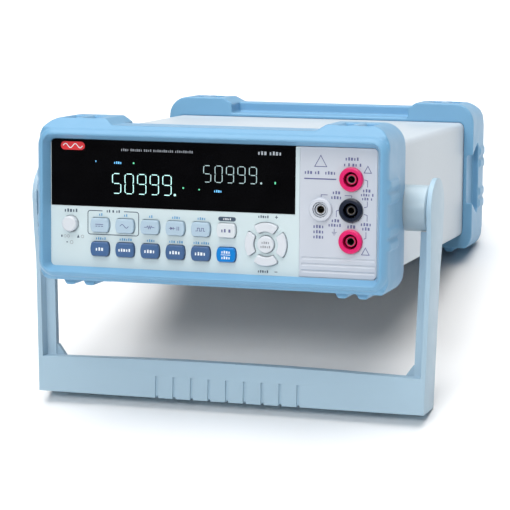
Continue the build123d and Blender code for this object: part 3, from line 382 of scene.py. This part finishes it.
# ------------------------------------------------------------------ flat print on a surface
class Print:
    """Thin printed marks gathered into one mesh, drawn in level millimetres.

    Marks lie on a face at depth y and stand a hair proud of it.  Points are given as
    (x, z) on that face.
    """

    THICKNESS = 0.05

    def __init__(self, name, y, material, node):
        self.name = name
        self.y = y
        self.material = material
        self.node = node
        self.shape = bmesh.new()

    def slab(self, points):
        """One closed outline, made into a thin plate."""
        front = [self.shape.verts.new((x, self.y - self.THICKNESS, z)) for x, z in points]
        back = [self.shape.verts.new((x, self.y + self.THICKNESS, z)) for x, z in points]
        self.shape.faces.new(front)
        self.shape.faces.new(reversed(back))
        count = len(points)
        for i in range(count):
            j = (i + 1) % count
            self.shape.faces.new((front[j], front[i], back[i], back[j]))

    def bar(self, x, z, width, height):
        """A filled rectangle about its centre."""
        w = width / 2
        h = height / 2
        self.slab([(x - w, z - h), (x + w, z - h), (x + w, z + h), (x - w, z + h)])

    def stroke(self, points, width, closed=False):
        """A line of even width through points, with mitred corners."""
        path = [Vector(point) for point in points]
        count = len(path)
        left = []
        right = []
        for i, point in enumerate(path):
            before = path[i - 1] if i or closed else None
            after = path[(i + 1) % count] if i + 1 < count or closed else None
            ahead = (after - point).normalized() if after is not None else (point - before).normalized()
            behind = (point - before).normalized() if before is not None else ahead
            side = Vector((-(ahead + behind).y, (ahead + behind).x)).normalized()
            reach = width / 2 / max(0.35, side.dot(Vector((-ahead.y, ahead.x))))
            left.append(point + side * reach)
            right.append(point - side * reach)
        for i in range(count if closed else count - 1):
            j = (i + 1) % count
            self.slab([right[i], right[j], left[j], left[i]])

    def dot(self, x, z, radius, sides=20):
        """A filled disc."""
        self.slab(circle_points(x, z, radius, sides))

    def ring(self, x, z, radius, width, sides=36):
        """A circle line."""
        self.stroke(circle_points(x, z, radius, sides), width, closed=True)

    def words(self, x, z, height, lengths):
        """Blocks that stand in for lettering, centred on x: this many in each word."""
        step = height * 0.9
        cursor = x - step * (sum(lengths) + 0.6 * (len(lengths) - 1)) / 2
        mark = 0
        for length in lengths:
            for _ in range(length):
                wide = step * (0.44 + 0.12 * (mark % 3))
                tall = height * (0.8 + 0.1 * (mark * 2 % 3))
                self.bar(cursor + step / 2, z - (height - tall) / 2, wide, tall)
                cursor += step
                mark += 1
            cursor += step * 0.6

    def finish(self):
        """The marks as a piece that rides with the node they are printed on."""
        mesh = bpy.data.meshes.new(self.name)
        self.shape.to_mesh(mesh)
        self.shape.free()
        mesh.transform(LEVEL)
        piece = linked(self.name, mesh)
        mesh.materials.append(self.material)
        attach(piece, BODY_OF[self.node])


def circle_points(x, z, radius, sides, start=0.0, sweep=360.0):
    """Points round a circle, or along part of one without its last point repeated."""
    steps = sides if sweep == 360.0 else sides - 1
    turns = [math.radians(start + sweep * i / steps) for i in range(sides)]
    return [(x + radius * math.cos(turn), z + radius * math.sin(turn)) for turn in turns]


INK_DARK = printed("ink_dark", (0.045, 0.075, 0.12))
INK_BLUE = printed("ink_blue", (0.10, 0.33, 0.58))
INK_VIOLET = printed("ink_violet", (0.11, 0.12, 0.27))
INK_WHITE = printed("ink_white", (0.80, 0.85, 0.90))
INK_GREY = printed("ink_grey", (0.25, 0.27, 0.30))
INK_SILVER = printed("ink_silver", (0.42, 0.46, 0.50))
INK_RED = printed("ink_red", (0.70, 0.02, 0.03))
SEGMENT_LIT = lit_segment("segment_lit", (0.42, 0.72, 0.70), 1.0)
SEGMENT_DIM = lit_segment("segment_dim", (0.27, 0.37, 0.38), 1.0)
SEGMENT_BLUE = lit_segment("segment_blue", (0.12, 0.42, 0.75), 1.0)
SEGMENT_GREEN = lit_segment("segment_green", (0.10, 0.55, 0.30), 0.9)

# Depths of the printed faces, and how far print stands off glass or off other print.
INLAY_FACE = -0.3
PANEL_FACE = 0.0
PRINT_LIFT = 0.02
PRINT_LAYER = 0.07


# ------------------------------------------------------------------ display
SEGMENTS = {
    "a": [(0.20, 1.0), (0.82, 1.0)],
    "b": [(0.90, 0.96), (1.0, 0.90), (1.0, 0.58), (0.93, 0.53)],
    "c": [(0.93, 0.47), (1.0, 0.42), (1.0, 0.10), (0.90, 0.04)],
    "d": [(0.20, 0.0), (0.82, 0.0)],
    "e": [(0.07, 0.47), (0.0, 0.42), (0.0, 0.10), (0.10, 0.04)],
    "f": [(0.10, 0.96), (0.0, 0.90), (0.0, 0.58), (0.07, 0.53)],
    "g": [(0.20, 0.5), (0.82, 0.5)],
}
LIT_IN = {"0": "abcdef", "5": "acdfg", "9": "abcdfg"}


def reading(lettering, digits, x, z, width, height, pitch, line):
    """Seven-segment digits from the lower left corner of the first one."""
    for place, digit in enumerate(digits):
        for segment in LIT_IN[digit]:
            corners = [(x + pitch * place + u * width, z + v * height) for u, v in SEGMENTS[segment]]
            lettering.stroke(corners, line)


def display():
    """Two readings with their points, the second dimmer, and small indicators."""
    lit = Print("display_digits", INLAY_FACE - PRINT_LIFT, SEGMENT_LIT, "display_window")
    reading(lit, "50999", -64.9, 6.9, 5.6, 12.4, 8.35, 0.52)
    lit.dot(-23.5, 7.2, 0.75)
    lit.finish()
    dim = Print("display_digits_second", INLAY_FACE - PRINT_LIFT, SEGMENT_DIM, "display_window")
    reading(dim, "50999", -4.7, 16.1, 4.7, 10.2, 7.4, 0.46)
    dim.dot(32.6, 16.5, 0.65)
    dim.finish()
    blue = Print("display_indicators_blue", INLAY_FACE - PRINT_LIFT, SEGMENT_BLUE, "display_window")
    blue.words(-61.4, 26.2, 1.5, [4])
    blue.words(4.6, 10.6, 1.5, [4])
    blue.words(-76.0, 26.8, 1.3, [1])
    blue.finish()
    green = Print("display_indicators_green", INLAY_FACE - PRINT_LIFT, SEGMENT_GREEN, "display_window")
    green.dot(-50.8, 26.2, 0.55, 8)
    green.dot(-18.0, 11.8, 0.55, 8)
    green.dot(-7.6, 11.2, 0.5, 8)
    green.bar(41.6, 17.0, 0.8, 1.4)
    green.finish()


def window_print():
    """A plain waveform badge and two lines of stand-in lettering along the window's top."""
    badge = Print("window_badge", INLAY_FACE - PRINT_LIFT, INK_RED, "display_window")
    right = circle_points(-86.0, 36.0, 2.6, 12, -90.0, 180.0)
    left = circle_points(-97.0, 36.0, 2.6, 12, 90.0, 180.0)
    badge.slab(right + left)
    badge.finish()
    wave = Print("window_badge_wave", INLAY_FACE - PRINT_LIFT - PRINT_LAYER, INK_WHITE, "display_window")
    ripple = [(-98.0 + 13.0 * i / 36, 36.0 + 1.3 * math.sin(2 * math.tau * i / 36)) for i in range(37)]
    wave.stroke(ripple, 0.55)
    wave.finish()
    lettering = Print("window_lettering", INLAY_FACE - PRINT_LIFT, INK_GREY, "display_window")
    lettering.words(-35.5, 34.4, 1.5, [4, 6, 4, 10, 9])
    lettering.finish()
    title = Print("window_title_marks", INLAY_FACE - PRINT_LIFT, INK_SILVER, "display_window")
    title.words(37.8, 35.2, 2.3, [3, 4])
    title.finish()


# ------------------------------------------------------------------ panel print
# Middles of the keys, of the ring of curved keys and of the power button, as (x, z).
KEY_X0 = -72.9
KEY_PITCH = 16.7
UPPER_Z = -13.5
LOWER_Z = -28.6
NAV = (36.1, -21.1)
POWER = (-93.0, -13.3)


def panel_print():
    """Frames, captions and marks printed on the front panel."""
    dark = Print("panel_print_dark", PANEL_FACE, INK_DARK, "front_panel")
    frame_left, frame_right, frame_low, frame_top, corner = -81.5, -47.5, -19.6, -4.6, 1.6
    outline = (
        circle_points(frame_right - corner, frame_top - corner, corner, 5, 0.0, 90.0)
        + circle_points(frame_left + corner, frame_top - corner, corner, 5, 90.0, 90.0)
        + circle_points(frame_left + corner, frame_low + corner, corner, 5, 180.0, 90.0)
        + circle_points(frame_right - corner, frame_low + corner, corner, 5, 270.0, 90.0)
    )
    middle = (frame_left + frame_right) / 2
    gap = 7.2
    dark.stroke([(middle - gap, frame_top)] + outline[5:] + outline[:5] + [(middle + gap, frame_top)], 0.5)
    dark.words(middle, frame_top, 1.71, [2, 1, 2])
    dark.words(POWER[0], -5.0, 2.1, [5])
    dark.words(NAV[0] - 2.0, NAV[1] + 17.0, 1.61, [5])
    dark.bar(NAV[0] + 6.4, NAV[1] + 17.0, 1.9, 0.45)
    dark.bar(NAV[0] + 6.4, NAV[1] + 17.0, 0.45, 1.9)
    dark.words(NAV[0] - 2.0, NAV[1] - 17.0, 1.61, [5])
    dark.bar(NAV[0] + 6.4, NAV[1] - 17.0, 1.9, 0.45)
    dark.bar(POWER[0] - 6.2, POWER[1] - 8.2, 0.9, 1.4)
    x, z = POWER[0] + 4.0, POWER[1] - 9.0
    dark.slab([(x, z), (x + 1.8, z), (x + 0.9, z + 2.0)])
    dark.bar(POWER[0] - 2.6, POWER[1] - 12.0, 1.1, 0.6)
    caption = (KEY_X0 + 5 * KEY_PITCH, UPPER_Z + 7.0)
    dark.slab(
        circle_points(caption[0] + 4.4, caption[1], 1.35, 8, -90.0, 180.0)
        + circle_points(caption[0] - 4.4, caption[1], 1.35, 8, 90.0, 180.0)
    )
    dark.finish()
    light = Print("panel_caption_light", PANEL_FACE - PRINT_LAYER, INK_WHITE, "front_panel")
    light.words(caption[0], caption[1], 1.23, [5])
    light.finish()
    pale = Print("panel_print_pale", PANEL_FACE, INK_GREY, "front_panel")
    for x in (-4.0, -1.8):
        pale.ring(POWER[0] + x, POWER[1] - 8.2, 0.8, 0.22, 12)
    pale.ring(POWER[0] + 7.8, POWER[1] - 8.1, 0.9, 0.22, 14)
    pale.ring(POWER[0] + 0.4, POWER[1] - 12.0, 1.0, 0.25, 14)
    pale.finish()
    blue = Print("panel_print_blue", PANEL_FACE, INK_BLUE, "front_panel")
    for column, lengths in enumerate(([2], [2], [2], [4], [4])):
        blue.words(KEY_X0 + KEY_PITCH * column, UPPER_Z + 6.6, 1.6, lengths)
    for column, lengths in enumerate(([5], [6], [4], [3, 3], [3, 4])):
        blue.words(KEY_X0 + KEY_PITCH * column, LOWER_Z + 6.5, 1.6, lengths)
    blue.finish()


def triangle(lettering, x, z, size, width):
    """A plain triangle outline."""
    half = size / 2
    corners = [(x - half, z - half * 0.9), (x + half, z - half * 0.9), (x, z + half * 0.9)]
    lettering.stroke(corners, width, closed=True)


JACK_X = 90.0
JACK_Z = 1.95
JACK_SPACING = 19.05


def terminal_print():
    """Brackets, rules and stand-in captions round the jacks."""
    ink = Print("terminal_print", INLAY_FACE, INK_VIOLET, "terminal_panel")
    ink.bar(70.2, 20.6, 20.2, 0.75)
    triangle(ink, 70.4, 31.6, 7.6, 0.45)
    ink.words(64.9, 24.4, 2.0, [3, 2])
    ink.words(76.4, 24.4, 2.0, [4])
    ink.words(90.0, 33.4, 2.0, [5])
    ink.words(90.4, 29.8, 1.9, [1, 1, 2, 1])
    triangle(ink, 100.0, 27.2, 4.6, 0.45)
    triangle(ink, 99.2, -22.8, 4.8, 0.45)
    upper, lower = JACK_Z + JACK_SPACING, JACK_Z - JACK_SPACING
    ink.stroke([(97.9, upper), (100.0, upper - 0.6), (100.0, upper - 4.6)], 0.4)
    ink.words(99.4, JACK_Z + 12.4, 2.0, [3])
    ink.words(99.8, JACK_Z + 9.8, 1.7, [4, 1])
    ink.words(99.8, JACK_Z + 7.4, 1.7, [3, 1])
    ink.stroke([(100.0, JACK_Z + 5.9), (100.0, JACK_Z + 2.6), (98.0, JACK_Z + 2.0)], 0.4)
    ink.stroke([(98.0, JACK_Z - 2.0), (100.0, JACK_Z - 2.6), (100.0, JACK_Z - 6.4)], 0.4)
    ink.words(99.2, JACK_Z - 8.2, 2.0, [4])
    ink.words(99.2, JACK_Z - 10.9, 2.0, [3])
    ink.stroke([(99.4, lower + 6.2), (99.4, lower + 2.4), (97.9, lower + 1.8)], 0.4)
    fuse_x = JACK_X - JACK_SPACING
    ink.stroke([(fuse_x, JACK_Z + 7.6), (fuse_x, JACK_Z + 9.0), (75.0, JACK_Z + 9.0)], 0.4)
    ink.stroke([(JACK_X, JACK_Z + 7.8), (JACK_X, JACK_Z + 9.0), (85.8, JACK_Z + 9.0)], 0.4)
    ink.words(80.4, JACK_Z + 10.6, 2.0, [3])
    ink.words(80.4, JACK_Z + 7.6, 2.0, [4])
    ink.stroke([(82.3, JACK_Z), (80.6, JACK_Z - 0.6), (80.6, JACK_Z - 4.4)], 0.4)
    ink.words(80.0, JACK_Z - 6.6, 2.0, [3])
    ink.words(79.6, JACK_Z - 9.4, 1.9, [5])
    ink.words(JACK_X, JACK_Z - 9.9, 2.1, [3])
    ink.stroke([(79.4, JACK_Z - 11.6), (79.4, JACK_Z - 13.6)], 0.4)
    for step in range(3):
        ink.bar(79.4, JACK_Z - 13.8 - 0.8 * step, 3.0 - step, 0.32)
    for row in range(3):
        ink.words(fuse_x - 1.6, JACK_Z - 10.6 - 3.2 * row, 2.0, [4])
    ink.finish()


KEY_TOP = -2.6
CENTRE_KEY_TOP = -2.2
KEY_PRINT_LIFT = 0.03


def key_marks(node, x, z, ink, draw, top=KEY_TOP):
    """A legend on a key's top."""
    legend = Print(node + "_legend", top - KEY_PRINT_LIFT, ink, node)
    draw(legend, x, z)
    legend.finish()


def steady_mark(legend, x, z):
    """A solid rule over a broken one."""
    legend.bar(x, z + 0.6, 5.2, 0.4)
    for offset in (-1.9, 0.0, 1.9):
        legend.bar(x + offset, z - 0.6, 1.3, 0.4)


def wave_mark(legend, x, z):
    """One cycle of a wave."""
    legend.stroke([(x - 2.8 + 5.6 * i / 24, z + 1.1 * math.sin(math.tau * i / 24)) for i in range(25)], 0.42)


def resistance_mark(legend, x, z):
    """A zigzag resistor between two leads."""
    teeth = [(-1.8 + 0.6 * i, 0.9 if i % 2 else -0.9) for i in range(1, 6)]
    zigzag = [(x + u, z + v) for u, v in teeth]
    legend.stroke([(x - 3.4, z), (x - 1.8, z), *zigzag, (x + 1.8, z), (x + 3.4, z)], 0.36)


def diode_mark(legend, x, z):
    """A diode and a capacitor in one line."""
    legend.stroke([(x - 3.8, z), (x + 0.4, z)], 0.3)
    legend.slab([(x - 2.8, z - 1.0), (x - 1.1, z), (x - 2.8, z + 1.0)])
    legend.bar(x - 0.9, z, 0.36, 2.0)
    legend.bar(x + 1.6, z, 0.4, 2.4)
    legend.bar(x + 2.7, z, 0.4, 2.4)


def pulse_mark(legend, x, z):
    """Two square pulses."""
    steps = [
        (-3.0, -0.9), (-1.8, -0.9), (-1.8, 0.9), (-0.4, 0.9), (-0.4, -0.9),
        (0.9, -0.9), (0.9, 0.9), (2.3, 0.9), (2.3, -0.9), (3.2, -0.9),
    ]
    legend.stroke([(x + u, z + v) for u, v in steps], 0.38)


def caption_mark(lengths, height=2.1):
    """Stand-in lettering for a key."""
    return lambda legend, x, z: legend.words(x, z, height, lengths)


def double_caption(legend, x, z):
    """Two short lines of stand-in lettering with a rule between."""
    legend.words(x, z + 1.7, 1.7, [4])
    legend.bar(x, z, 6.2, 0.35)
    legend.words(x, z - 1.8, 1.7, [4])


def centre_caption(legend, x, z):
    """Two short lines of stand-in lettering for the round key."""
    legend.words(x, z + 1.2, 1.5, [4])
    legend.words(x, z - 1.4, 1.5, [5])


def all_key_marks():
    """Legends on the function keys and the centre key."""
    upper = [steady_mark, wave_mark, resistance_mark, diode_mark, pulse_mark, caption_mark([2, 1])]
    lower = [caption_mark([3]), caption_mark([5], 1.9)] + [caption_mark([4])] * 3 + [double_caption]
    for column, draw in enumerate(upper):
        key_marks(f"key_upper_{column + 1}", KEY_X0 + KEY_PITCH * column, UPPER_Z, INK_VIOLET, draw)
    for column, draw in enumerate(lower):
        key_marks(f"key_lower_{column + 1}", KEY_X0 + KEY_PITCH * column, LOWER_Z, INK_WHITE, draw)
    key_marks("nav_key_centre", *NAV, INK_GREY, centre_caption, CENTRE_KEY_TOP)


display()
window_print()
panel_print()
terminal_print()
all_key_marks()


# ------------------------------------------------------------------ floor, light and camera
def studio_floor():
    """A plain pale floor."""
    shape = bmesh.new()
    bmesh.ops.create_grid(shape, x_segments=1, y_segments=1, size=6.0)
    mesh = bpy.data.meshes.new("studio_floor")
    shape.to_mesh(mesh)
    shape.free()
    floor = linked("studio_floor", mesh)
    white = (0.94, 0.94, 0.94)
    paint = moulded("floor_paint", white, 0.6, grain=300.0, depth=0.00001, clouds=2.0, variation=0.01)
    mesh.materials.append(paint)


def area_light(name, place, target, size, power):
    """A soft rectangular light aimed at a point."""
    data = bpy.data.lights.new(name, "AREA")
    data.shape = "RECTANGLE"
    data.size, data.size_y = size
    data.energy = power
    light = bpy.data.objects.new(name, data)
    bpy.context.scene.collection.objects.link(light)
    light.location = place
    light.rotation_euler = (Vector(target) - Vector(place)).to_track_quat("-Z", "Y").to_euler()


def ceiling_light(name, strength, width):
    """A broad even light from straight above, as wide as the sky angle given."""
    data = bpy.data.lights.new(name, "SUN")
    data.energy = strength
    data.angle = math.radians(width)
    light = bpy.data.objects.new(name, data)
    bpy.context.scene.collection.objects.link(light)


def studio_light():
    """An even white ceiling, a soft box above and in front, one behind, and a faint surround."""
    ceiling_light("ceiling", strength=3.1, width=60.0)
    area_light("front_key", (-0.15, -1.54, 1.35), target=(0.0, 0.0, 0.0), size=(0.9, 0.4), power=15.0)
    area_light("rear_box", (0.0, 1.1, 1.4), target=(0.0, 0.4, 0.0), size=(2.6, 1.0), power=14.0)
    world = bpy.data.worlds.new("studio")
    world.use_nodes = True
    surround = world.node_tree.nodes["Background"]
    surround.inputs["Color"].default_value = (0.95, 0.97, 1.0, 1.0)
    surround.inputs["Strength"].default_value = 0.05
    bpy.context.scene.world = world
    bpy.context.scene.view_settings.view_transform = "Standard"


CAMERA_PLACE = (429.6, -1317.2, 147.3)
CAMERA_YAW = 16.92
CAMERA_PITCH = 7.26
CAMERA_ROLL = 0.47
CAMERA_LENS = 158.5


def camera():
    """Camera to the right of the panel and a little above it, looking at the meter."""
    yaw, pitch, roll = (math.radians(angle) for angle in (CAMERA_YAW, CAMERA_PITCH, CAMERA_ROLL))
    ahead = Vector((-math.sin(yaw) * math.cos(pitch), math.cos(yaw) * math.cos(pitch), -math.sin(pitch)))
    right = Vector((math.cos(yaw), math.sin(yaw), 0.0))
    above = right.cross(ahead)
    rolled_right = math.cos(roll) * right + math.sin(roll) * above
    rolled_above = math.cos(roll) * above - math.sin(roll) * right
    tilt = LEVEL.to_3x3() * (1 / MM)
    axes = [tilt @ rolled_right, tilt @ rolled_above, tilt @ -ahead]
    data = bpy.data.cameras.new("photo_view")
    data.lens = CAMERA_LENS
    data.sensor_width = 36.0
    data.clip_start = 0.05
    data.clip_end = 30.0
    view = bpy.data.objects.new("photo_view", data)
    bpy.context.scene.collection.objects.link(view)
    place = LEVEL @ Vector(CAMERA_PLACE)
    rows = [[*(axis[row] for axis in axes), place[row]] for row in range(3)]
    view.matrix_world = Matrix(rows + [[0, 0, 0, 1]])
    bpy.context.scene.camera = view


studio_floor()
studio_light()
camera()

bpy.context.view_layer.update()
